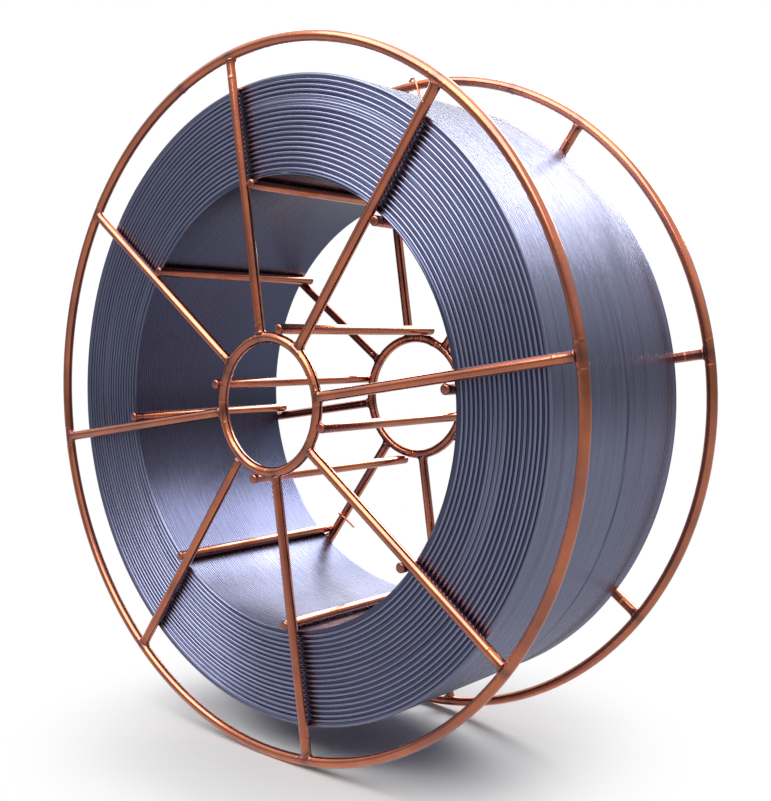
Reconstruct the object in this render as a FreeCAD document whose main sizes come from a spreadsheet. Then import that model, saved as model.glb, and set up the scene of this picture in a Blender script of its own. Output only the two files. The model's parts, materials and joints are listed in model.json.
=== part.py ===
import FreeCAD, Part
import math
import os
import Sketcher

# Welded wire-basket spool with a full coil of welding wire, in millimetres.
# The spool's axis is Y with the front flange at -Y, +Z is up, and the origin is
# the middle of the bore. Each piece is drawn along +X and then turned about Y.

doc = FreeCAD.newDocument("wire_spool")

# Driving sizes in millimetres, counts, and angles in degrees
sizes = doc.addObject("Spreadsheet::Sheet", "Sizes")
drivingSizes = (
    ("rim_diameter", "300", "over the outside of the rims"),
    ("spool_width", "103", "over the outside of both flanges"),
    ("bore_diameter", "52", "clear inside the hub rings"),
    ("rod_diameter", "4.3", "rod of the whole basket"),
    ("rod_sides", "8", "flats that stand for the rod's round section"),
    ("spoke_count", "8", "spokes in each flange"),
    ("hub_bar_count", "4", "bars that tie the two hub rings"),
    ("resting_angle", "8.55", "first spoke above the level, as the spool stands"),
    ("weld_gap", "0.05", "between two rods where a weld joins them"),
    ("drum_bar_setback", "1.0", "drum bar ends inside the flange faces"),
    ("bar_chamfer", "0.7", "rounding of the sheared bar ends"),
    ("core_ratio", "0.63", "inside of the wound wire as a share of the rims' diameter"),
    ("fill_ratio", "0.749", "how full the spool is: depth of wire as a share of the room below the rims"),
    ("coil_seat", "0.1", "between the coil's bore and the drum bars"),
    ("coil_side_gap", "0.2", "between the coil's ends and the spokes"),
    ("coil_steps", "4", "grooves that the layers leave on each end of the coil"),
    ("step_depth", "1.3", "depth of those grooves"),
    ("wire_diameter", "1.2", "the wire's free end"),
    ("hook_angle", "82.5", "hook of the free end, round from the first spoke"),
    ("hook_slant", "55", "lean of the hook from the spool's axis"),
    ("hook_rise", "4.4", "top of the hook above the middle of the rim's rod"),
    ("hook_inset", "4", "wire leaves the coil this far before the middle of the rim"),
    ("hook_tail", "3", "cut end of the wire below the middle of the rim's rod"),
)
for row, (alias, value, meaning) in enumerate(drivingSizes, start=1):
    sizes.set(f"A{row}", meaning)
    sizes.set(f"B{row}", value)
    sizes.setAlias(f"B{row}", alias)
doc.recompute()

# Places that follow from the sizes
rodRadius = "Sizes.rod_diameter / 2"
rimRadius = "(Sizes.rim_diameter - Sizes.rod_diameter) / 2"
hubRadius = "(Sizes.bore_diameter + Sizes.rod_diameter) / 2"
flangePlane = "(Sizes.spool_width - Sizes.rod_diameter) / 2"
sideBySide = "(Sizes.rod_diameter + Sizes.weld_gap)"
coreRadius = "(Sizes.core_ratio * Sizes.rim_diameter / 2)"
coilDepth = f"(Sizes.fill_ratio * ({rimRadius} - {coreRadius}))"
drumRadius = f"({coreRadius} - {rodRadius} - Sizes.coil_seat)"
drumBarReach = f"sqrt({drumRadius} ^ 2 - {sideBySide} ^ 2)"
drumBarLength = "Sizes.spool_width - 2 * Sizes.drum_bar_setback"
hubBarReach = f"{hubRadius} + {sideBySide}"
coilHalfWidth = "(Sizes.spool_width / 2 - Sizes.rod_diameter - Sizes.coil_side_gap)"
coilRadius = f"({coreRadius} + {coilDepth})"
coilStep = f"{coilDepth} / Sizes.coil_steps"
wireRadius = "Sizes.wire_diameter / 2"
hookNear = "(Sizes.hook_inset / cos(Sizes.hook_slant))"
hookFar = f"(({rodRadius} + {wireRadius} + Sizes.weld_gap) / cos(Sizes.hook_slant))"
hookBend = f"({hookNear} + {hookFar}) / 2"
hookLean = f"{hookNear} * sin(Sizes.hook_slant)"
hookFoot = f"(sqrt({coilRadius} ^ 2 - ({hookLean} - {wireRadius}) ^ 2) + Sizes.weld_gap)"
spokePitch = "360 / Sizes.spoke_count"
hubBarPitch = "360 / Sizes.hub_bar_count"

pieces = []


def newPiece(name):
    body = doc.addObject("PartDesign::Body", name)
    body.Label = name
    pieces.append(body)
    return body


def newSketch(body, name, planeRole):
    sketch = body.newObject("Sketcher::SketchObject", f"{body.Name}_{name}")
    plane = next(item for item in body.Origin.OriginFeatures if item.Role == planeRole)
    sketch.AttachmentSupport = (plane, "")
    sketch.MapMode = "FlatFace"
    return sketch


def bindConstraint(sketch, kind, elements, expression):
    # Draws a dimension at the value that its expression has
    value = float(sketch.evalExpression(expression))
    index = sketch.addConstraint(Sketcher.Constraint(kind, *elements, value))
    sketch.setExpression(f"Constraints[{index}]", expression)


def drawRodSection(sketch, reachX="0", reachY="0", gap="0", radius=rodRadius):
    # A regular polygon whose flats touch the rod's round section, widened by the gap
    cornerRadius = f"({radius} + {gap}) / cos(180 / Sizes.rod_sides)"
    corner = float(sketch.evalExpression(cornerRadius))
    centre = FreeCAD.Vector(
        float(sketch.evalExpression(reachX)), float(sketch.evalExpression(reachY)), 0
    )
    sides = int(sizes.rod_sides)
    corners = []
    for index in range(sides):
        angle = math.pi / sides * (2 * index + 1)
        corners.append(centre + FreeCAD.Vector(corner * math.cos(angle), corner * math.sin(angle), 0))
    circle = sketch.addGeometry(Part.Circle(centre, FreeCAD.Vector(0, 0, 1), corner), True)
    firstLine = circle + 1
    for index in range(sides):
        sketch.addGeometry(Part.LineSegment(corners[index - 1], corners[index]), False)
    for index in range(sides):
        line = firstLine + index
        nextLine = firstLine + (index + 1) % sides
        sketch.addConstraint(Sketcher.Constraint("Coincident", line, 2, nextLine, 1))
        sketch.addConstraint(Sketcher.Constraint("PointOnObject", line, 2, circle))
        if index:
            sketch.addConstraint(Sketcher.Constraint("Equal", firstLine, line))
    sketch.addConstraint(Sketcher.Constraint("Vertical", firstLine))
    bindConstraint(sketch, "Radius", (circle,), cornerRadius)
    for kind, reach in (("DistanceX", reachX), ("DistanceY", reachY)):
        bindConstraint(sketch, kind, (-1, 1, circle, 3), reach)


def turnSection(body, sketch):
    feature = body.newObject("PartDesign::Revolution", f"{sketch.Name}_turned")
    feature.Profile = sketch
    feature.ReferenceAxis = (sketch, ["V_Axis"])
    feature.Angle = 360
    return feature


def extrude(body, sketch, length, midplane):
    feature = body.newObject("PartDesign::Pad", f"{sketch.Name}_pad")
    feature.Profile = sketch
    feature.SideType = "Symmetric" if midplane else "One side"
    feature.setExpression("Length", length)
    return feature


def turnToAngle(body, angle):
    body.Placement.Rotation = FreeCAD.Rotation(FreeCAD.Vector(0, -1, 0), 1)
    body.setExpression("Placement.Rotation.Angle", f"Sizes.resting_angle + {angle}")


def setOnFlange(body, side):
    body.setExpression("Placement.Base.y", f"{side} * {flangePlane}")


def makeRing(name, side, radius):
    # Rim or hub ring: the rod's section turned about the spool's axis
    body = newPiece(name)
    section = newSketch(body, "section", "XY_Plane")
    drawRodSection(section, reachX=radius)
    turnSection(body, section)
    setOnFlange(body, side)


def makeSpoke(name, side, angle):
    # Straight rod from hub ring to rim, its ends coped to the rings' sections
    body = newPiece(name)
    section = newSketch(body, "section", "YZ_Plane")
    drawRodSection(section)
    section.setExpression("AttachmentOffset.Base.z", hubRadius)
    extrude(body, section, f"{rimRadius} - {hubRadius}", midplane=False)
    seats = newSketch(body, "seats", "XY_Plane")
    drawRodSection(seats, reachX=hubRadius, gap="Sizes.weld_gap")
    drawRodSection(seats, reachX=rimRadius, gap="Sizes.weld_gap")
    cope = body.newObject("PartDesign::Pocket", f"{body.Name}_cope")
    cope.Profile = seats
    cope.SideType = "Symmetric"
    cope.Type = "ThroughAll"
    turnToAngle(body, angle)
    setOnFlange(body, side)


def makeBar(name, reach, drop, length, angle):
    # Straight rod along the spool's axis, its sheared ends rounded
    body = newPiece(name)
    section = newSketch(body, "section", "XZ_Plane")
    drawRodSection(section, reachX=reach, reachY=drop)
    rod = extrude(body, section, length, midplane=True)
    doc.recompute()
    ends = [
        f"Face{number}"
        for number, face in enumerate(rod.Shape.Faces, start=1)
        if abs(face.normalAt(0, 0).y) > 0.9
    ]
    chamfer = body.newObject("PartDesign::Chamfer", f"{body.Name}_ends")
    chamfer.Base = (rod, ends)
    chamfer.setExpression("Size", "Sizes.bar_chamfer")
    turnToAngle(body, angle)


def makeCoil(name):
    # Wound wire as one turned solid: each end is ridged, with a groove for every few layers
    body = newPiece(name)
    profile = newSketch(body, "profile", "XY_Plane")
    steps = int(sizes.coil_steps)
    corners = []
    for side in (1, -1):
        edge = []
        for index in range(2 * steps + 1):
            reach = f"{coreRadius} + {index} / 2 * {coilStep}"
            depth = "Sizes.step_depth" if index % 2 else "0"
            edge.append((reach, f"{side} * ({coilHalfWidth} - {depth})"))
        corners += edge[::side]
    points = [
        FreeCAD.Vector(float(profile.evalExpression(x)), float(profile.evalExpression(y)), 0)
        for x, y in corners
    ]
    for index in range(len(points)):
        profile.addGeometry(Part.LineSegment(points[index - 1], points[index]), False)
    for index, (x, y) in enumerate(corners):
        nextLine = (index + 1) % len(corners)
        profile.addConstraint(Sketcher.Constraint("Coincident", index, 2, nextLine, 1))
        bindConstraint(profile, "DistanceX", (-1, 1, index, 2), x)
        bindConstraint(profile, "DistanceY", (-1, 1, index, 2), y)
    turnSection(body, profile)


def makeWireEnd(name, side):
    # Free end of the wire: it leaves the coil, bends over the rim and ends behind it
    body = newPiece(name)
    route = newSketch(body, "route", "XY_Plane")
    route.AttachmentOffset.Rotation = FreeCAD.Rotation(FreeCAD.Vector(1, 0, 0), 1)
    route.setExpression("AttachmentOffset.Rotation.Angle", "Sizes.hook_slant")
    bendReach = f"{rimRadius} + Sizes.hook_rise - {hookBend}"
    tailReach = f"{rimRadius} - Sizes.hook_tail"
    foot, bend, tail, near, far, radius = (
        float(route.evalExpression(expression))
        for expression in (hookFoot, bendReach, tailReach, hookNear, hookFar, hookBend)
    )
    centre = FreeCAD.Vector(bend, (far - near) / 2, 0)
    circle = Part.Circle(centre, FreeCAD.Vector(0, 0, 1), radius)
    riser = route.addGeometry(
        Part.LineSegment(FreeCAD.Vector(foot, -near, 0), FreeCAD.Vector(bend, -near, 0)), False
    )
    arch = route.addGeometry(Part.ArcOfCircle(circle, -math.pi / 2, math.pi / 2), False)
    drop = route.addGeometry(
        Part.LineSegment(FreeCAD.Vector(bend, far, 0), FreeCAD.Vector(tail, far, 0)), False
    )
    route.addConstraint(Sketcher.Constraint("Tangent", riser, 2, arch, 1))
    route.addConstraint(Sketcher.Constraint("Tangent", arch, 2, drop, 1))
    route.addConstraint(Sketcher.Constraint("Horizontal", riser))
    route.addConstraint(Sketcher.Constraint("Horizontal", drop))
    bindConstraint(route, "DistanceX", (-1, 1, riser, 1), hookFoot)
    bindConstraint(route, "DistanceY", (-1, 1, riser, 1), f"-{hookNear}")
    bindConstraint(route, "DistanceX", (-1, 1, arch, 3), bendReach)
    bindConstraint(route, "DistanceX", (-1, 1, drop, 2), tailReach)
    bindConstraint(route, "DistanceY", (-1, 1, drop, 2), hookFar)
    section = newSketch(body, "section", "YZ_Plane")
    drawRodSection(section, reachX="-Sizes.hook_inset", reachY=f"-{hookLean}", radius=wireRadius)
    section.setExpression("AttachmentOffset.Base.z", hookFoot)
    wire = body.newObject("PartDesign::AdditivePipe", f"{body.Name}_wire")
    wire.Profile = section
    wire.Spine = (route, ["Edge1", "Edge2", "Edge3"])
    turnToAngle(body, "Sizes.hook_angle")
    setOnFlange(body, side)


for flange, side in (("front", -1), ("rear", 1)):
    makeRing(f"{flange}_rim", side, rimRadius)
    makeRing(f"{flange}_hub_ring", side, hubRadius)
    for number in range(1, int(sizes.spoke_count) + 1):
        makeSpoke(f"{flange}_spoke_{number}", side, f"{number - 1} * {spokePitch}")
for number in range(1, int(sizes.spoke_count) + 1):
    # Each drum bar lies against the lower side of its spokes
    makeBar(
        f"drum_bar_{number}",
        reach=drumBarReach,
        drop=f"-{sideBySide}",
        length=drumBarLength,
        angle=f"{number - 1} * {spokePitch}",
    )
for number in range(1, int(sizes.hub_bar_count) + 1):
    # The hub bars lie outside the hub rings, midway between two spokes
    makeBar(
        f"hub_bar_{number}",
        reach=hubBarReach,
        drop="0",
        length="Sizes.spool_width",
        angle=f"{spokePitch} * 1.5 + {number - 1} * {hubBarPitch}",
    )
makeCoil("wire_coil")
makeWireEnd("wire_end", side=1)
doc.recompute()

for item in doc.Objects:
    if "Invalid" in item.State or "Error" in item.State:
        raise RuntimeError(f"{item.Name} failed: {item.getStatusString()}")
for piece in pieces:
    if piece.Shape.isNull() or not piece.Shape.isValid() or len(piece.Shape.Solids) != 1:
        raise RuntimeError(f"{piece.Label} is not one valid solid")

os.makedirs("parts", exist_ok=True)
for piece in pieces:
    piece.Shape.exportStep(f"parts/{piece.Label}.step")
    box = piece.Shape.BoundBox
    print(
        f"{piece.Label}: {piece.Shape.Volume / 1000:.3f} cm3,"
        f" x {box.XMin:.2f} to {box.XMax:.2f},"
        f" y {box.YMin:.2f} to {box.YMax:.2f}, z {box.ZMin:.2f} to {box.ZMax:.2f}"
    )
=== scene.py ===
import json
import math

import bpy
import numpy as np
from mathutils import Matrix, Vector


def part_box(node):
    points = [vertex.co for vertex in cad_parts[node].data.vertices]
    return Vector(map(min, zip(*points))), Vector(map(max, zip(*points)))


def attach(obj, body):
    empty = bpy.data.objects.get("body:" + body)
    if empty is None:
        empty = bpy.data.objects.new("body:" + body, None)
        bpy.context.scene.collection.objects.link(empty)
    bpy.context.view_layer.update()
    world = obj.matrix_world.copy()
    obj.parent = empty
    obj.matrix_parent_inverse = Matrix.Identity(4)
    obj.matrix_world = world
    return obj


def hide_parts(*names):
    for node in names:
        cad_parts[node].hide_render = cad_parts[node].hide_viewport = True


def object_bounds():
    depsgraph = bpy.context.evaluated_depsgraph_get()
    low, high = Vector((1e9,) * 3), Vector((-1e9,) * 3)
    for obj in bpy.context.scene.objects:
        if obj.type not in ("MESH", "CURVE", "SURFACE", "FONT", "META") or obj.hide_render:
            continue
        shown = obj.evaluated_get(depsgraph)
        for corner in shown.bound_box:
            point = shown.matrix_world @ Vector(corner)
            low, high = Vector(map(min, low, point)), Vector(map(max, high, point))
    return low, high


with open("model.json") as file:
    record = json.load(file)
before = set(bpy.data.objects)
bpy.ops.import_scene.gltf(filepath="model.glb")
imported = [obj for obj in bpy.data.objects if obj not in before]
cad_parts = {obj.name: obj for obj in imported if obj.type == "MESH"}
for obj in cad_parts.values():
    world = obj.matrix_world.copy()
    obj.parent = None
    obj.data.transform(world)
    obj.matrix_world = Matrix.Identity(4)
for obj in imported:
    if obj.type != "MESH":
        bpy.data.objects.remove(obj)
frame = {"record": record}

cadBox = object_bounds()
body = "root"
millimetre = 0.001


# What the frame says about the spool

def nodeMiddle(node):
    low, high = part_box(node)
    return (Vector(low) + Vector(high)) / 2


def nodeSize(node):
    low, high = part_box(node)
    return Vector(high) - Vector(low)


rodRadius = nodeSize("front_rim").y / 2
rimRadius = nodeSize("front_rim").z / 2 - rodRadius
hubRadius = nodeSize("front_hub_ring").z / 2 - rodRadius
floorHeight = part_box("front_rim")[0][2]
flanges = {"front": nodeMiddle("front_rim").y, "rear": nodeMiddle("rear_rim").y}
nodeNames = [entry["node"] for entry in frame["record"]["subparts"]]


def spokeAngle(node):
    middle = nodeMiddle(node)
    return math.atan2(middle.z, middle.x)


# Meshes

def meshObject(name, vertices, faces, attributes=None):
    mesh = bpy.data.meshes.new(name)
    mesh.from_pydata(vertices.tolist(), [], faces)
    mesh.polygons.foreach_set("use_smooth", [True] * len(mesh.polygons))
    for key, values in (attributes or {}).items():
        layer = mesh.attributes.new(key, "FLOAT", "POINT")
        layer.data.foreach_set("value", values.astype(np.float32).ravel())
    mesh.update()
    piece = bpy.data.objects.new(name, mesh)
    bpy.context.scene.collection.objects.link(piece)
    return piece


def gridFaces(rows, columns, closeRows):
    # Quads between rows of points, each row closed on itself
    rowCount = rows if closeRows else rows - 1
    row, column = np.meshgrid(np.arange(rowCount), np.arange(columns), indexing="ij")
    nextRow, nextColumn = (row + 1) % rows, (column + 1) % columns
    corners = [row * columns + column, row * columns + nextColumn,
               nextRow * columns + nextColumn, nextRow * columns + column]
    return np.stack(corners, axis=-1).reshape(-1, 4).tolist()


def angleFrom(angles, middle):
    # Angles measured from a middle, between minus and plus half a turn
    return (angles - middle + math.pi) % (2 * math.pi) - math.pi


def wander(generator, positions, strength, waves, period=2 * math.pi):
    # A smooth random line that closes on itself after one period
    line = np.zeros_like(positions)
    for wave in waves:
        phase = generator.uniform(0, 2 * math.pi)
        line += generator.uniform(-1, 1) * np.sin(2 * math.pi * wave * positions / period + phase)
    return strength * line / math.sqrt(len(waves))


def dressPiece(piece, node, material):
    piece.data.materials.append(material)
    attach(piece, body)
    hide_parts(node)


# Materials

def newMaterial(name):
    material = bpy.data.materials.new(name)
    material.use_nodes = True
    shader = material.node_tree.nodes["Principled BSDF"]
    return material, material.node_tree.nodes, material.node_tree.links, shader


def noiseNode(nodes, links, vector, scale, detail=3.0, roughness=0.5):
    noise = nodes.new("ShaderNodeTexNoise")
    noise.inputs["Scale"].default_value = scale
    noise.inputs["Detail"].default_value = detail
    noise.inputs["Roughness"].default_value = roughness
    links.new(vector, noise.inputs["Vector"])
    return noise.outputs["Fac"]


def rampNode(nodes, links, factor, stops):
    ramp = nodes.new("ShaderNodeValToRGB")
    for element, (position, colour) in zip(ramp.color_ramp.elements, stops):
        element.position = position
        element.color = (*colour, 1.0)
    links.new(factor, ramp.inputs["Fac"])
    return ramp.outputs["Color"]


def rangeNode(nodes, links, value, low, high, fromLow=0.0, fromHigh=1.0):
    node = nodes.new("ShaderNodeMapRange")
    node.inputs["From Min"].default_value = fromLow
    node.inputs["From Max"].default_value = fromHigh
    node.inputs["To Min"].default_value = low
    node.inputs["To Max"].default_value = high
    links.new(value, node.inputs["Value"])
    return node.outputs["Result"]


def setInput(links, socket, value):
    # A number or a colour is set on the socket itself, anything else is linked
    if isinstance(value, (tuple, float)):
        socket.default_value = value
    else:
        links.new(value, socket)


def mathNode(nodes, links, operation, first, second):
    node = nodes.new("ShaderNodeMath")
    node.operation = operation
    for socket, value in enumerate((first, second)):
        setInput(links, node.inputs[socket], value)
    return node.outputs["Value"]


def blendNode(nodes, links, factor, first, second):
    # Blends two numbers
    mix = nodes.new("ShaderNodeMix")
    for socket, value in (("Factor", factor), ("A", first), ("B", second)):
        setInput(links, mix.inputs[socket], value)
    return mix.outputs["Result"]


def mixNode(nodes, links, factor, first, second):
    # Blends two colours, which are a mix node's inputs 6 and 7 and its output 2
    mix = nodes.new("ShaderNodeMix")
    mix.data_type = "RGBA"
    for socket, value in (("Factor", factor), (6, first), (7, second)):
        setInput(links, mix.inputs[socket], value)
    return mix.outputs[2]


copperLook = {
    "fresh": (0.70, 0.152, 0.030),
    "dull": (0.40, 0.066, 0.012),
    "burnt": (0.25, 0.040, 0.009),
    "tarnishScale": 38.0,
    "tarnishEdges": (0.32, 0.62),
    "roughness": (0.15, 0.25),
    "rubScale": 240.0,
    "lacquerGloss": 1.95,  # index of refraction of the clear film over the copper
    "lacquerRoughness": 0.08,
    "scratchScale": 900.0,
    "scratchHeight": 0.00004,  # m
}


def copperMaterial():
    material, nodes, links, shader = newMaterial("copperPlate")
    look = copperLook
    place = nodes.new("ShaderNodeTexCoord").outputs["Object"]
    tarnish = noiseNode(nodes, links, place, look["tarnishScale"], detail=5.0, roughness=0.6)
    colour = rampNode(nodes, links, tarnish, zip(look["tarnishEdges"], (look["dull"], look["fresh"])))
    heat = nodes.new("ShaderNodeAttribute")
    heat.attribute_name = "weldHeat"
    colour = mixNode(nodes, links, heat.outputs["Fac"], colour, (*look["burnt"], 1.0))
    links.new(colour, shader.inputs["Base Color"])
    rub = noiseNode(nodes, links, place, look["rubScale"], detail=4.0)
    links.new(rangeNode(nodes, links, rub, *look["roughness"]), shader.inputs["Roughness"])
    bump = nodes.new("ShaderNodeBump")
    bump.inputs["Distance"].default_value = look["scratchHeight"]
    links.new(noiseNode(nodes, links, place, look["scratchScale"], detail=2.0), bump.inputs["Height"])
    links.new(bump.outputs["Normal"], shader.inputs["Normal"])
    shader.inputs["Metallic"].default_value = 1.0
    shader.inputs["Coat Weight"].default_value = 1.0
    shader.inputs["Coat Roughness"].default_value = look["lacquerRoughness"]
    shader.inputs["Coat IOR"].default_value = look["lacquerGloss"]
    return material


wireLook = {
    "dark": (0.250, 0.262, 0.400),
    "light": (0.355, 0.370, 0.540),
    "shaded": (0.098, 0.106, 0.180),  # turns that lie back between their neighbours, and the bore
    "roughness": (0.20, 0.34),
    "streaksAcross": 420.0,  # along the wire the streaks are drawn out
    "streaksAlong": 1.3,
    "streakScale": 1.6,
    "streakEdges": (0.30, 0.70),
    "streakHeight": 0.000006,  # m
}


def wireMaterial():
    material, nodes, links, shader = newMaterial("drawnWire")
    look = wireLook
    split = nodes.new("ShaderNodeSeparateXYZ")
    links.new(nodes.new("ShaderNodeTexCoord").outputs["Object"], split.inputs["Vector"])
    across, along, up = (split.outputs[axis] for axis in "XYZ")
    squares = [mathNode(nodes, links, "MULTIPLY", side, side) for side in (across, up)]
    reach = mathNode(nodes, links, "SQRT", mathNode(nodes, links, "ADD", *squares), 0.0)
    turn = mathNode(nodes, links, "ARCTAN2", up, across)
    wound = nodes.new("ShaderNodeCombineXYZ")
    fine, drawn = look["streaksAcross"], look["streaksAlong"]
    for axis, value, scale in (("X", reach, fine), ("Y", along, fine), ("Z", turn, drawn)):
        links.new(mathNode(nodes, links, "MULTIPLY", value, scale), wound.inputs[axis])
    drawnOut = wound.outputs["Vector"]
    streaks = noiseNode(nodes, links, drawnOut, look["streakScale"], detail=4.0, roughness=0.65)
    colour = rampNode(nodes, links, streaks, zip(look["streakEdges"], (look["dark"], look["light"])))
    shade = nodes.new("ShaderNodeAttribute")
    shade.attribute_name = "shade"
    colour = mixNode(nodes, links, shade.outputs["Fac"], colour, (*look["shaded"], 1.0))
    links.new(colour, shader.inputs["Base Color"])
    links.new(rangeNode(nodes, links, streaks, *look["roughness"]), shader.inputs["Roughness"])
    bump = nodes.new("ShaderNodeBump")
    bump.inputs["Distance"].default_value = look["streakHeight"]
    links.new(streaks, bump.inputs["Height"])
    links.new(bump.outputs["Normal"], shader.inputs["Normal"])
    shader.inputs["Metallic"].default_value = 1.0
    return material


copperPlate = copperMaterial()
drawnWire = wireMaterial()
print("materials ready")


# The welded basket

rodShape = {
    "around": 20,         # points round the section
    "spacing": 6.0,       # mm between sections along a plain stretch
    "fineSpacing": 0.35,  # mm between sections beside a weld
    "fineReach": 9.5,
    "endMargin": 0.05,    # mm beside a rod's ends that other sections keep clear of
    "unevenness": 0.012,  # drawn rod is never quite even
    "waves": (1, 2, 3),
    "wavesOver": 1.3,     # lengths of rod that the waves take, so that its two ends differ
}

weldShape = {
    "sink": 0.35,         # mm that a rod's end is pressed into its neighbour
    "upset": 0.085,       # swelling beside the joint, as a share of the rod's radius
    "upsetReach": 1.5,
    "flash": 0.17,        # rim of squeezed-out metal right at the joint
    "flashReach": 0.38,
    "lumps": (0.6, (1, 2, 3, 5)),  # how much the flash varies round the rod, and in which waves
    "lumpLimits": (0.15, 1.9),
    "pressedFlat": 0.7,   # how much less metal swells out at the front and the back
    "jawReach": {"rim": 7.2, "hub": 3.6},  # mm of rod that the welding jaws gripped
    "jawDepth": 0.045,
    "jawUneven": (0.5, 1.3),
    "jawEdge": 0.12,      # mm over which a jaw's flat ends
    "lip": 0.035,         # raised edge where the jaws ended
    "lipAt": 0.25,        # mm past the flat
    "lipReach": 0.30,
    "lipAtSides": 0.4,    # share of the lip that is left at the rod's sides
    "heat": (0.6, 1.0),
    "heatReach": 2.4,
}


def stations(length, fineAt, fineReach):
    # Places along a rod in millimetres, close together near each weld
    marks = [np.arange(0, length, rodShape["spacing"])]
    for place in fineAt:
        marks.append(np.arange(place - fineReach, place + fineReach, rodShape["fineSpacing"]))
    marks = np.unique(np.round(np.concatenate(marks), 2))
    marks = marks[(marks > rodShape["endMargin"]) & (marks < length - rodShape["endMargin"])]
    return np.concatenate(([0.0], marks, [length]))


def step(distance, edge, softness):
    # Falls from 1 to 0 where the distance passes the edge
    return 1 / (1 + np.exp(np.clip((distance - edge) / softness, -40, 40)))


def facingJaws(angle):
    # 1 at the rod's front and back, where the jaws press, and 0 at its sides
    return np.abs(np.sin(angle)) ** 3


def jawMark(distance, angle, reach, generator):
    # Flats that the welding jaws press into the front and the back, with a raised edge
    shape = weldShape
    facing = facingJaws(angle)
    depth = shape["jawDepth"] * generator.uniform(*shape["jawUneven"])
    flat = -depth * facing * step(distance, reach, shape["jawEdge"])
    pastFlat = (distance - reach - shape["lipAt"]) / shape["lipReach"]
    lipShare = shape["lipAtSides"] + (1 - shape["lipAtSides"]) * facing
    return flat + shape["lip"] * lipShare * np.exp(-(pastFlat**2))


def pressedFlat(angle):
    return 1 - weldShape["pressedFlat"] * facingJaws(angle)


def heatTint(distance):
    return np.exp(-((distance / weldShape["heatReach"]) ** 2))


def endWeld(distance, angle, reach, generator):
    # Swelling, flash and jaw mark of a rod's welded end
    shape = weldShape
    lumps = np.clip(1 + wander(generator, angle, *shape["lumps"]), *shape["lumpLimits"])
    flash = shape["flash"] * lumps * np.exp(-((distance / shape["flashReach"]) ** 2))
    swell = shape["upset"] * np.exp(-((distance / shape["upsetReach"]) ** 2))
    heat = heatTint(distance) * generator.uniform(*shape["heat"])
    return (flash + swell) * pressedFlat(angle) + jawMark(distance, angle, reach, generator), heat


def sectionAngles():
    return np.linspace(0, 2 * math.pi, rodShape["around"], endpoint=False)


def tubeMesh(name, centres, first, second, radius, heat, closed):
    # Skins a rod: one ring of points for each centre, capped unless it closes on itself
    angle = sectionAngles()
    cosine, sine = np.cos(angle)[None, :, None], np.sin(angle)[None, :, None]
    ring = cosine * first[:, None, :] + sine * second[:, None, :]
    points = centres[:, None, :] + radius[:, :, None] * ring
    points = np.clip(points, cadBox[0], cadBox[1])  # weld flash is trimmed flush with the flanges' faces
    around = len(angle)
    faces = gridFaces(len(centres), around, closed)
    if not closed:
        lastRing = (len(centres) - 1) * around
        faces.append(list(range(around))[::-1])
        faces.append(list(range(lastRing, lastRing + around)))
    return meshObject(name, points.reshape(-1, 3), faces, {"weldHeat": heat.reshape(-1)})


def drawnRod(generator, length, along):
    # Place along the rod and angle round it of each point, and the slow waves in its thickness
    place, turn = np.meshgrid(along, sectionAngles(), indexing="ij")
    period = length * rodShape["wavesOver"]
    return place, turn, wander(generator, place, rodShape["unevenness"], rodShape["waves"], period)


def straightMesh(name, start, axis, sides, along, radius, heat):
    centres = np.array(start) + np.outer(along * millimetre, axis)
    first, second = (np.array([side]) for side in sides)
    return tubeMesh(name, centres, first, second, radius, heat, False)


def spokeRod(name, start, end, seed):
    # Straight rod with a butt weld at the hub ring and one at the rim
    generator = np.random.default_rng(seed)
    length = (end - start).length / millimetre
    along = stations(length, (0, length), rodShape["fineReach"])
    place, turn, swelling = drawnRod(generator, length, along)
    heat = np.zeros_like(place)
    for joint, kind in ((weldShape["sink"], "hub"), (length - weldShape["sink"], "rim")):
        extra, warmth = endWeld(np.abs(place - joint), turn, weldShape["jawReach"][kind], generator)
        swelling += extra
        heat = np.maximum(heat, warmth)
    axis = (end - start).normalized()
    across = Vector((0, 1, 0))
    sides = (across.cross(axis), across)
    return straightMesh(name, start, axis, sides, along, rodRadius * (1 + swelling), heat)


barShape = {
    "fineReach": 6.0,
    "tips": (0.06, 0.15, 0.3, 0.5, 0.8),  # mm from an end where its rounding needs sections
    "dome": 0.9,          # mm of rounding
    "domeDrop": 0.42,     # and how far it takes the radius down
    "squash": 0.06,       # flat where the bar is pressed on what it is welded to
    "squashReach": 3.0,
    "squashEdge": 0.3,
    "heat": 0.8,
}


def barRod(name, start, end, welds, outward, seed):
    # Straight bar with sheared, rounded ends, pressed a little flat where it is welded
    shape = barShape
    generator = np.random.default_rng(seed)
    length = (end - start).length / millimetre
    tips = np.array(shape["tips"])
    along = stations(length, (0, length), shape["fineReach"])
    along = np.unique(np.concatenate((along, tips, length - tips)))
    place, turn, swelling = drawnRod(generator, length, along)
    heat = np.zeros_like(place)
    for weld in welds:
        away = np.abs(place - weld)
        pressed = step(away, shape["squashReach"], shape["squashEdge"])
        swelling -= shape["squash"] * np.clip(np.cos(turn), 0, 1) ** 2 * pressed
        heat = np.maximum(heat, heatTint(away) * shape["heat"])
    radius = rodRadius * (1 + swelling)
    for reach in (place, length - place):
        inside = np.clip(1 - reach / shape["dome"], 0, 1)
        radius = radius * (1 - shape["domeDrop"] * (1 - np.sqrt(np.clip(1 - inside**2, 0, 1))))
    axis = (end - start).normalized()
    first = outward.normalized()
    return straightMesh(name, start, axis, (first, axis.cross(first)), along, radius, heat)


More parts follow.
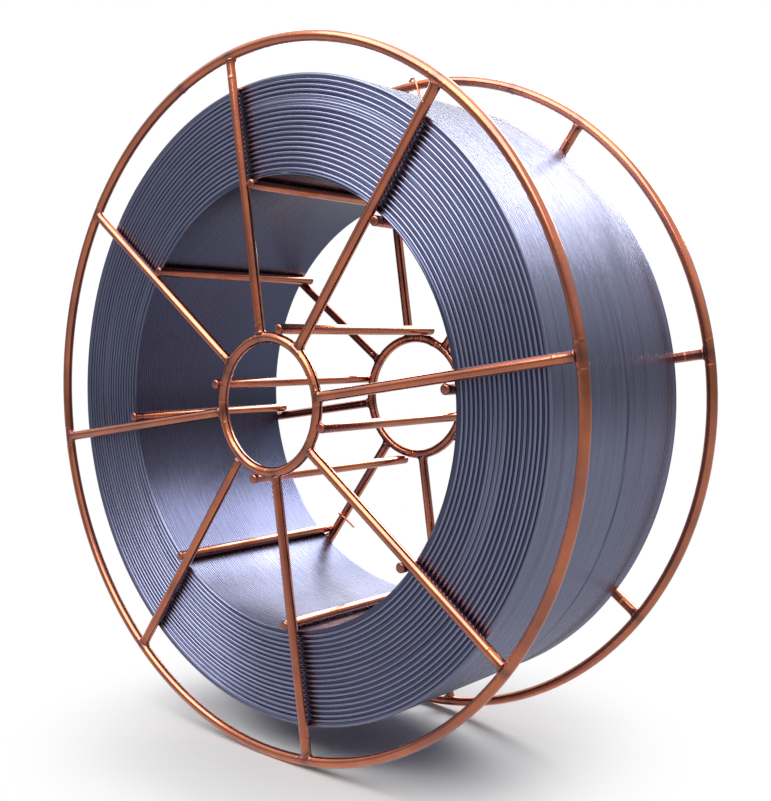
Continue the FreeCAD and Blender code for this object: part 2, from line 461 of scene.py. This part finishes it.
ringShape = {
    "waves": (2, 3, 5, 9),
    "seamSwell": 0.075,   # of the ring's own butt weld
    "seamReach": 1.1,
    "seamLumps": (0.5, (1, 2, 3, 4)),
    "seamJaw": 6.4,       # mm that the jaws gripped each side of it
    "seamHeat": 1.0,
    "spokeJaw": 4.6,      # and each side of a spoke's weld
    "spokeHeat": 0.85,
    "bead": 0.13,         # metal squeezed up on the ring beside a spoke, as a share of the rod's radius
    "beadAt": 2.35,       # mm from the spoke's axis
    "beadReach": 0.55,
    "beadLumps": (0.7, (1, 2, 3, 5)),
    "beadLimits": (0.1, 2.0),
    "beadSide": 1.5,      # how fast the bead dies out round the rod
    "beadTwist": 3,       # how fast its lumps turn round the rod on their way along the ring
    # degrees from the first spoke to the ring's own butt weld
    "seamAfterSpoke": {
        "frontRimRod": 102.7,
        "rearRimRod": 60.0,
        "frontHubRing": 143.0,
        "rearHubRing": 60.0,
    },
}


def ringRod(name, radius, plane, welds, spokeSide, seed):
    # spokeSide is 1 where the spokes stand outside the ring and -1 where they end inside it
    generator = np.random.default_rng(seed)
    shape = ringShape
    length = 2 * math.pi * radius / millimetre
    seam = (welds[0] + shape["seamAfterSpoke"][name]) % 360
    places = [degrees * length / 360 for degrees in (seam, *welds)]
    marks = stations(length, places, rodShape["fineReach"])[:-1]
    turn, section = np.meshgrid(marks / length * 2 * math.pi, sectionAngles(), indexing="ij")
    swelling = wander(generator, turn, rodShape["unevenness"], shape["waves"])
    heat = np.zeros_like(turn)
    for degrees in (seam, *welds):
        away = np.abs(angleFrom(turn, math.radians(degrees))) * length / (2 * math.pi)
        weld = "seam" if degrees == seam else "spoke"
        swelling += jawMark(away, section, shape[f"{weld}Jaw"], generator)
        heat = np.maximum(heat, shape[f"{weld}Heat"] * heatTint(away))
        if weld == "seam":
            lumps = 1 + wander(generator, section, *shape["seamLumps"])
            swell = np.exp(-((away / shape["seamReach"]) ** 2))
            swelling += shape["seamSwell"] * lumps * pressedFlat(section) * swell
        else:
            lumps = wander(generator, section + shape["beadTwist"] * turn, *shape["beadLumps"])
            lumps = np.clip(1 + lumps, *shape["beadLimits"])
            besideSpoke = np.clip(spokeSide * np.cos(section), 0, 1) ** shape["beadSide"]
            bead = np.exp(-(((away - shape["beadAt"]) / shape["beadReach"]) ** 2))
            swelling += shape["bead"] * lumps * besideSpoke * bead
    turns = turn[:, 0]
    first = np.stack((np.cos(turns), np.zeros_like(turns), np.sin(turns)), axis=-1)
    second = np.array([(0.0, 1.0, 0.0)])
    centres = first * radius + second * plane
    return tubeMesh(name, centres, first, second, rodRadius * (1 + swelling), heat, True)


# Seeds that give each rod its own waves and weld lumps
rodSeeds = {"front": 5, "rear": 4, "hubRing": 40, "spoke": 100, "spokeFlange": 20, "bar": 300}


def buildFlange(flange, plane):
    spokes = sorted(name for name in nodeNames if name.startswith(f"{flange}_spoke_"))
    welds = [math.degrees(spokeAngle(name)) % 360 for name in spokes]
    seed = rodSeeds[flange]
    rim = ringRod(f"{flange}RimRod", rimRadius, plane, welds, -1, seed)
    dressPiece(rim, f"{flange}_rim", copperPlate)
    hub = ringRod(f"{flange}HubRing", hubRadius, plane, welds, 1, seed + rodSeeds["hubRing"])
    dressPiece(hub, f"{flange}_hub_ring", copperPlate)
    sink = weldShape["sink"] * millimetre
    for index, name in enumerate(spokes):
        angle = spokeAngle(name)
        outward = Vector((math.cos(angle), 0, math.sin(angle)))
        base = Vector((0, plane, 0))
        start = base + outward * (hubRadius + rodRadius - sink)
        end = base + outward * (rimRadius - rodRadius + sink)
        spokeSeed = rodSeeds["spoke"] + index + rodSeeds["spokeFlange"] * seed
        spoke = spokeRod(f"{flange}Spoke{index + 1}", start, end, spokeSeed)
        dressPiece(spoke, name, copperPlate)


def buildBars():
    for node in (name for name in nodeNames if "_bar_" in name):
        middle, half = nodeMiddle(node), nodeSize(node).y / 2
        outward = Vector((middle.x, 0, middle.z))
        start, end = (Vector((middle.x, middle.y + side * half, middle.z)) for side in (-1, 1))
        welds = [(plane - start.y) / millimetre for plane in flanges.values()]
        kind, number = node.split("_bar_")
        barSeed = rodSeeds["bar"] + int(number)
        bar = barRod(f"{kind}Bar{number}", start, end, welds, -outward, barSeed)
        dressPiece(bar, node, copperPlate)


for flange, plane in flanges.items():
    buildFlange(flange, plane)
buildBars()
print("basket ready")


# The wound wire

coilShape = {
    "wire": 1.2,      # mm
    "layers": 39,
    "turns": 78,
    "segments": 240,  # round the spool
    "backing": 1.8,   # mm of hidden depth behind the turns that show
}
wireRadius = coilShape["wire"] / 2
coilLow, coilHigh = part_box("wire_coil")
coilOuter = (coilHigh[0] - coilLow[0]) / 2 / millimetre
coilHalf = coilHigh[1] / millimetre
drumMiddle = nodeMiddle("drum_bar_1")
coilInner = math.hypot(drumMiddle.x, drumMiddle.z) / millimetre + rodRadius / millimetre
firstSpoke = spokeAngle("front_spoke_1")


def coilSteps():
    return np.linspace(0, 2 * math.pi, coilShape["segments"], endpoint=False)


def turnedPiece(name, rows, hiddenCorners, turnRound):
    # A row has reach and height in mm and the shade of one point of the profile, for every step round
    steps = coilSteps()
    for reach, height in hiddenCorners:
        rows.append([np.full_like(steps, value) for value in (reach, height, 1.0)])
    if turnRound:
        rows.reverse()
    reach, height, shade = np.array(rows).transpose(1, 0, 2)
    vertices = np.stack((reach * np.cos(steps), height, reach * np.sin(steps)), axis=-1) * millimetre
    return meshObject(name, vertices.reshape(-1, 3), gridFaces(*reach.shape, True), {"shade": shade})


def wanderField(generator, rows, steps, strength, rowScale, waves):
    # Unevenness that neighbouring turns share: it fades into another pattern after a few rows
    knots = int(rows.max() / rowScale) + 3
    lines = np.array([wander(generator, steps, strength, waves) for _ in range(knots)])
    place = rows / rowScale
    low = np.floor(place).astype(int)
    blend = (place - low)[:, None]
    blend = blend * blend * (3 - 2 * blend)
    return lines[low] * (1 - blend) + lines[low + 1] * blend


def window(steps, middle, spread):
    # 1 near an angle measured from the first spoke, 0 away from it
    away = angleFrom(steps - firstSpoke, math.radians(middle))
    return np.exp(-((away / math.radians(spread)) ** 4))


endShape = {
    "proudArc": (-88, -62, -38, -14, 14, 38, 62, 88),  # degrees of an end's turn that show
    "backArc": (-48, -24, 0, 24, 48),                  # and where it lies back between its neighbours
    "recess": 1.1,            # mm that every second layer's end turn stands back
    "recessWander": (0.15, (1, 2, 4)),
    "proudWander": (0.22, 3.0, (1, 2, 3, 5, 8)),  # mm in and out, layers over which it changes, waves
    "driftWander": (0.30, 5.0, (1, 2, 3, 5)),     # the same across the layers
    "turnWander": (0.05, (3, 5, 8, 13)),          # mm and waves of each turn by itself
    "edgeLayers": 4,          # layers over which the drift dies out at the edges
    "hollowDepth": 0.9,       # mm down from which a turn is in its neighbours' shade
    "hollowShade": 0.74,
    "paintedEndShade": 0.50,        # painted shade over the ends' left side, where the turns get little light
    "paintedEndShadeAt": (152.0, 42.0),  # middle and spread in degrees of that painted shade
}


def coilEnd(name, side, raisedPatches, seed):
    # The layers' end turns, standing proud and lying back by turns
    shape = endShape
    generator = np.random.default_rng(seed)
    steps = coilSteps()
    layers = np.arange(coilShape["layers"])
    centres = np.linspace(coilInner + wireRadius, coilOuter - wireRadius, len(layers))
    drift = wanderField(generator, layers, steps, *shape["driftWander"])
    proud = wanderField(generator, layers, steps, *shape["proudWander"])
    # Painted shade darkens the ends' left side, where the turns get little light
    paintedEndDarkening = shape["paintedEndShade"] * window(steps, *shape["paintedEndShadeAt"])
    edges = np.minimum(layers, layers[::-1])[:, None] / shape["edgeLayers"]
    drift *= np.clip(edges, 0, 1)
    rows = []
    for layer, centre in enumerate(centres):
        setBack = np.abs(proud[layer] + wander(generator, steps, *shape["turnWander"]))
        liesBack = layer % 2 == 1
        if liesBack:
            recess = shape["recess"] * (1 + wander(generator, steps, *shape["recessWander"]))
            for low, high, middle, spread, share in raisedPatches:
                if low < centre < high:
                    recess = recess * (1 - share * window(steps, middle, spread))
            setBack = setBack + recess
        for degree in shape["backArc" if liesBack else "proudArc"]:
            angle = math.radians(degree)
            reach = centre + drift[layer] + wireRadius * math.sin(angle)
            height = side * (coilHalf - wireRadius - setBack + wireRadius * math.cos(angle))
            drop = (setBack + wireRadius * (1 - math.cos(angle))) / shape["hollowDepth"]
            shade = shape["hollowShade"] * np.clip(drop, 0, 1) ** 2
            rows.append((reach, height, shade + (1 - shade) * paintedEndDarkening))
    back = side * (coilHalf - coilShape["wire"] - coilShape["backing"])
    corners = [(coilOuter - wireRadius, back), (coilInner + wireRadius, back)]
    return turnedPiece(name, rows, corners, side > 0)


skinShape = {
    "arc": (46, 24),              # degrees of each turn that show outside and in the bore
    "midArc": 0.36,               # share of them at a turn's two points in between
    "edgeArc": 88,                # degrees that show of the turns beside the coil's ends
    "dip": (0.05, 9.0, (1, 2, 3, 5)),     # mm in and out, mm over which it changes, waves
    "dipEach": (0.012, (5, 9, 14, 23)),   # mm and waves of each turn by itself
    "ripple": (0.0175, 0.0077),   # mm, short waves along the turns outside and in the bore
    "rippleWaves": (11, 17, 26, 37),
    "sway": (0.03, (1, 2, 3)),    # mm and waves to and fro
    "outerShade": 0.27,
    "boreShade": (1.0, 0.52),     # painted shade in most of the bore, and less of it under a painted highlight
    "paintedBoreHighlight": (233.0, 12.5),  # middle and spread in degrees of the painted highlight in the bore
    "paintedBoreRearShade": (5.0, 50.0),      # mm along the axis over which the painted highlight gives way to painted shade towards the rear
    "shoveSide": 0.6,             # mm beside a gap where turns are shoved to one side or the other
    "shoveReach": 2.4,
    "lineReach": 0.7,             # mm of shade beside a gap
    "darkWidth": 0.5,             # mm of width from which a gap is fully dark
}


def coilSkin(name, outside, gaps, seed):
    # The turns of the outermost or the innermost layer
    shape = skinShape
    generator = np.random.default_rng(seed)
    steps = coilSteps()
    side = 1 if outside else -1
    centre = (coilOuter - wireRadius) if outside else (coilInner + wireRadius)
    heights = np.linspace(-coilHalf + wireRadius, coilHalf - wireRadius, coilShape["turns"])
    dips = wanderField(generator, heights - heights[0], steps, *shape["dip"])
    ripple, arc = (shape[key][0 if outside else 1] for key in ("ripple", "arc"))
    midArc = shape["midArc"] * arc
    relative = np.degrees(angleFrom(steps, firstSpoke))
    plainShade = np.full_like(steps, shape["outerShade"])
    # Painted shade over the bore, with less of it under a painted highlight
    if not outside:
        deep, paintedHighlightShade = shape["boreShade"]
        plainShade = deep + (paintedHighlightShade - deep) * window(steps, *shape["paintedBoreHighlight"])
    rows = []
    for turn, height in enumerate(heights):
        dip = np.abs(dips[turn] + wander(generator, steps, *shape["dipEach"]))
        dip = dip + wander(generator, steps, ripple, shape["rippleWaves"])
        sway = wander(generator, steps, *shape["sway"])
        shade = plainShade
        # Towards the rear the painted highlight gives way to painted shade again
        if not outside:
            front, rear = shape["paintedBoreRearShade"]
            shade = shade + (deep - shade) * np.clip((height - front) / (rear - front), 0, 1)
        for start, drift, width, middle, spread in gaps:
            away = height - (start + drift * (relative - middle))
            near = window(steps, middle, spread)
            shove = np.clip(away / shape["shoveSide"], -1, 1)
            shove = shove * np.exp(-np.abs(away) / shape["shoveReach"]) * width / 2
            sway = sway + shove * near
            line = min(1.0, width / shape["darkWidth"]) * np.exp(-((away / shape["lineReach"]) ** 2))
            shade = shade + (1 - shade) * line * near
        atEdge = abs(height) > coilHalf - 2 * wireRadius
        first = -shape["edgeArc"] if atEdge and height < 0 else -arc
        last = shape["edgeArc"] if atEdge and height > 0 else arc
        for degree in (first, -midArc, midArc, last):
            angle = math.radians(degree)
            reach = centre + side * (wireRadius * math.cos(angle) - dip)
            rows.append((reach, height + sway + wireRadius * math.sin(angle), shade))
    hidden = centre - side * coilShape["backing"]
    return turnedPiece(name, rows, [(hidden, heights[-1]), (hidden, heights[0])], not outside)


# Lines where two turns part: height at its middle, drift per degree, width, middle and spread in degrees
outerGaps = (
    (8.0, -0.08, 0.60, -28.0, 36.0),
    (21.0, 0.0, 0.14, 0.0, 30.0),
    (1.8, 0.0, 0.16, 15.0, 28.0),
    (-3.5, 0.0, 0.14, 5.0, 25.0),
    (-39.5, 0.02, 0.22, -15.0, 30.0),
    (-12.0, 0.03, 0.45, 190.0, 45.0),
)
innerGaps = (
    (-38.0, 0.0, 0.16, 125.0, 30.0),
    (-25.0, 0.0, 0.14, 125.0, 30.0),
    (-17.0, 0.0, 0.16, 125.0, 30.0),
    (-8.5, 0.01, 0.30, 125.0, 32.0),
    (6.5, 0.0, 0.22, -155.0, 22.0),
)
# Where layers that lie back come forward: radius from and to, middle and spread in degrees, share
frontPatches = (
    (121.8, 126.2, 68.0, 24.0, 0.55),
    (110.0, 115.0, -22.0, 20.0, 0.5),
    (94.0, 100.0, 250.0, 16.0, 0.6),
    (92.0, 137.0, 148.0, 42.0, 0.55),
)
rearPatches = ((112.0, 122.0, 200.0, 35.0, 0.7),)


def wireRun(name, node, route):
    # Loose wire through points given as degrees round the spool, mm from its axis and mm along it
    curve = bpy.data.curves.new(name, "CURVE")
    curve.dimensions = "3D"
    curve.bevel_depth = wireRadius * millimetre
    curve.bevel_resolution = 4
    curve.use_fill_caps = True
    spline = curve.splines.new("NURBS")
    spline.points.add(len(route) - 1)
    for point, (degrees, reach, height) in zip(spline.points, route):
        turn = math.radians(degrees)
        place = Vector((reach * math.cos(turn), height, reach * math.sin(turn))) * millimetre
        point.co = (*place, 1.0)
    spline.order_u = 3
    spline.use_endpoint_u = True
    spline.resolution_u = 8
    piece = bpy.data.objects.new(name, curve)
    bpy.context.scene.collection.objects.link(piece)
    dressPiece(piece, node, copperPlate)


wireEnds = {
    "outer": (
        (83, 133.7, 45.4), (84.6, 133.9, 45.4), (86.2, 134.6, 45.5), (87.5, 138.0, 45.6),
        (88.4, 143.0, 45.6), (89.3, 148.4, 45.9), (90.2, 151.1, 47.0), (91.8, 151.4, 50.2),
        (93.0, 149.2, 52.15), (93.2, 146.0, 52.2),
    ),
    "inner": (
        (231.2, 98.0, 46.3), (231.2, 97.6, 49.6), (231.6, 95.5, 51.7), (232.4, 91.0, 51.75),
        (232.5, 86.5, 51.75), (232.0, 83.0, 51.9), (231.3, 80.6, 49.5), (232.6, 78.8, 46.5),
        (235.0, 77.9, 46.4), (238.0, 78.1, 46.9), (240.7, 78.7, 47.5),
    ),
}

coilPieces = [
    coilEnd("coilFrontEnd", -1, frontPatches, 11),
    coilEnd("coilRearEnd", 1, rearPatches, 12),
    coilSkin("coilOuterTurns", True, outerGaps, 13),
    coilSkin("coilInnerTurns", False, innerGaps, 14),
]
for piece in coilPieces:
    dressPiece(piece, "wire_coil", drawnWire)
wireRun("wireHook", "wire_end", wireEnds["outer"])
wireRun("wireStart", "wire_coil", wireEnds["inner"])
print("coil ready")


# Floor, light and camera

studio = {
    "floorSize": 12.0,
    "floorColour": (0.93, 0.93, 0.93),
    "floorRoughness": 0.6,
    "whiteFrom": (0.152, 0.215),   # m from the spool where the floor goes over to plain white
    "floorInMetal": (0.55, 0.38),  # how bright metal mirrors the white floor, near and far off
    "farOff": (0.8, 1.6),          # m
    "roomLight": 0.10,
    "wallLight": (0.26, 1.0),      # what metal sees, level and overhead
    "wallHeight": (0.14, 0.64),
}


def directRay(nodes, links):
    # 1 for what the camera sees by itself or in metal, 0 for light that falls on the spool
    path = nodes.new("ShaderNodeLightPath")
    seen = path.outputs["Is Camera Ray"]
    for ray in ("Is Glossy Ray", "Is Transmission Ray"):
        seen = mathNode(nodes, links, "MAXIMUM", seen, path.outputs[ray])
    return seen


def buildFloor():
    half = studio["floorSize"] / 2
    corners = np.array([(-half, -half, floorHeight), (half, -half, floorHeight),
                        (half, half, floorHeight), (-half, half, floorHeight)])
    floor = meshObject("floor", corners, [[0, 1, 2, 3]])
    material, nodes, links, shader = newMaterial("paleFloor")
    shader.inputs["Base Color"].default_value = (*studio["floorColour"], 1.0)
    shader.inputs["Roughness"].default_value = studio["floorRoughness"]
    shader.inputs["Specular IOR Level"].default_value = 0.0
    away = nodes.new("ShaderNodeVectorMath")
    away.operation = "LENGTH"
    links.new(nodes.new("ShaderNodeTexCoord").outputs["Object"], away.inputs[0])
    near, far = studio["farOff"]
    distance = away.outputs["Value"]
    inMetal = rangeNode(nodes, links, distance, *studio["floorInMetal"], fromLow=near, fromHigh=far)
    cameraRay = nodes.new("ShaderNodeLightPath").outputs["Is Camera Ray"]
    whiteGlow = nodes.new("ShaderNodeEmission")
    links.new(blendNode(nodes, links, cameraRay, inMetal, 1.0), whiteGlow.inputs["Strength"])
    fade = nodes.new("ShaderNodeMapRange")
    fade.interpolation_type = "SMOOTHSTEP"
    fade.inputs["From Min"].default_value, fade.inputs["From Max"].default_value = studio["whiteFrom"]
    links.new(distance, fade.inputs["Value"])
    share = mathNode(nodes, links, "MULTIPLY", fade.outputs["Result"], directRay(nodes, links))
    blend = nodes.new("ShaderNodeMixShader")
    links.new(share, blend.inputs["Fac"])
    links.new(shader.outputs["BSDF"], blend.inputs[1])
    links.new(whiteGlow.outputs["Emission"], blend.inputs[2])
    output = next(node for node in nodes if node.type == "OUTPUT_MATERIAL")
    links.new(blend.outputs["Shader"], output.inputs["Surface"])
    floor.data.materials.append(material)


def buildWorld():
    # The camera sees plain white, metal sees the room: white overhead, greyer walls low down
    world = bpy.data.worlds.new("whiteRoom")
    bpy.context.scene.world = world
    world.use_nodes = True
    nodes, links = world.node_tree.nodes, world.node_tree.links
    background = nodes["Background"]
    background.inputs["Color"].default_value = (1.0, 1.0, 1.0, 1.0)
    split = nodes.new("ShaderNodeSeparateXYZ")
    links.new(nodes.new("ShaderNodeTexCoord").outputs["Generated"], split.inputs["Vector"])
    low, high = studio["wallHeight"]
    room = rangeNode(nodes, links, split.outputs["Z"], *studio["wallLight"], fromLow=low, fromHigh=high)
    path = nodes.new("ShaderNodeLightPath")
    strength = studio["roomLight"]
    for ray, light in (("Is Glossy Ray", room), ("Is Transmission Ray", room), ("Is Camera Ray", 1.0)):
        strength = blendNode(nodes, links, path.outputs[ray], strength, light)
    links.new(strength, background.inputs["Strength"])


# Place in m, size in m and power in W
softboxes = {
    "backTop": {"at": (0.06, 0.95, 0.71), "size": (0.75, 0.50), "power": 9.8},
    "leftBack": {"at": (-0.68, 1.00, 0.54), "size": (0.70, 0.65), "power": 5.4},
    "frontTop": {"at": (-0.10, -0.75, 0.94), "size": (1.25, 1.00), "power": 13.2},
    "overhead": {"at": (0.0, 0.03, 1.25), "size": (1.0, 0.9), "power": 1.8},
}


def addSoftbox(name, at, size, power):
    light = bpy.data.lights.new(name, "AREA")
    light.shape = "RECTANGLE"
    light.size, light.size_y = size
    light.energy = power
    lamp = bpy.data.objects.new(name, light)
    lamp.location = at
    lamp.rotation_euler = (-Vector(at)).to_track_quat("-Z", "Y").to_euler()
    bpy.context.scene.collection.objects.link(lamp)


view = {
    "azimuth": 42.221,   # degrees from the spool's front
    "elevation": 4.265,
    "distance": 0.47974,
    "aim": (-0.00166, 0.0, -0.00905),
    "focalPixels": 1059.62,
    "centrePixel": (345.0, 420.0),  # where the camera's axis meets the picture
    "frame": (771, 801),
    "sensor": 36.0,
}


def addCamera():
    azimuth, elevation = math.radians(view["azimuth"]), math.radians(view["elevation"])
    back = Vector((math.sin(azimuth) * math.cos(elevation),
                   -math.cos(azimuth) * math.cos(elevation), math.sin(elevation)))
    width, height = view["frame"]
    cameraData = bpy.data.cameras.new("camera")
    cameraData.sensor_width = view["sensor"]
    cameraData.lens = view["focalPixels"] * view["sensor"] / height
    cameraData.shift_x = (width / 2 - view["centrePixel"][0]) / height
    cameraData.shift_y = (view["centrePixel"][1] - height / 2) / height
    camera = bpy.data.objects.new("camera", cameraData)
    camera.location = Vector(view["aim"]) + back * view["distance"]
    camera.rotation_euler = back.to_track_quat("Z", "Y").to_euler()
    bpy.context.scene.collection.objects.link(camera)
    bpy.context.scene.camera = camera


buildFloor()
buildWorld()
for name, box in softboxes.items():
    addSoftbox(name, **box)
addCamera()
bpy.context.scene.view_settings.view_transform = "Standard"
print("studio ready")
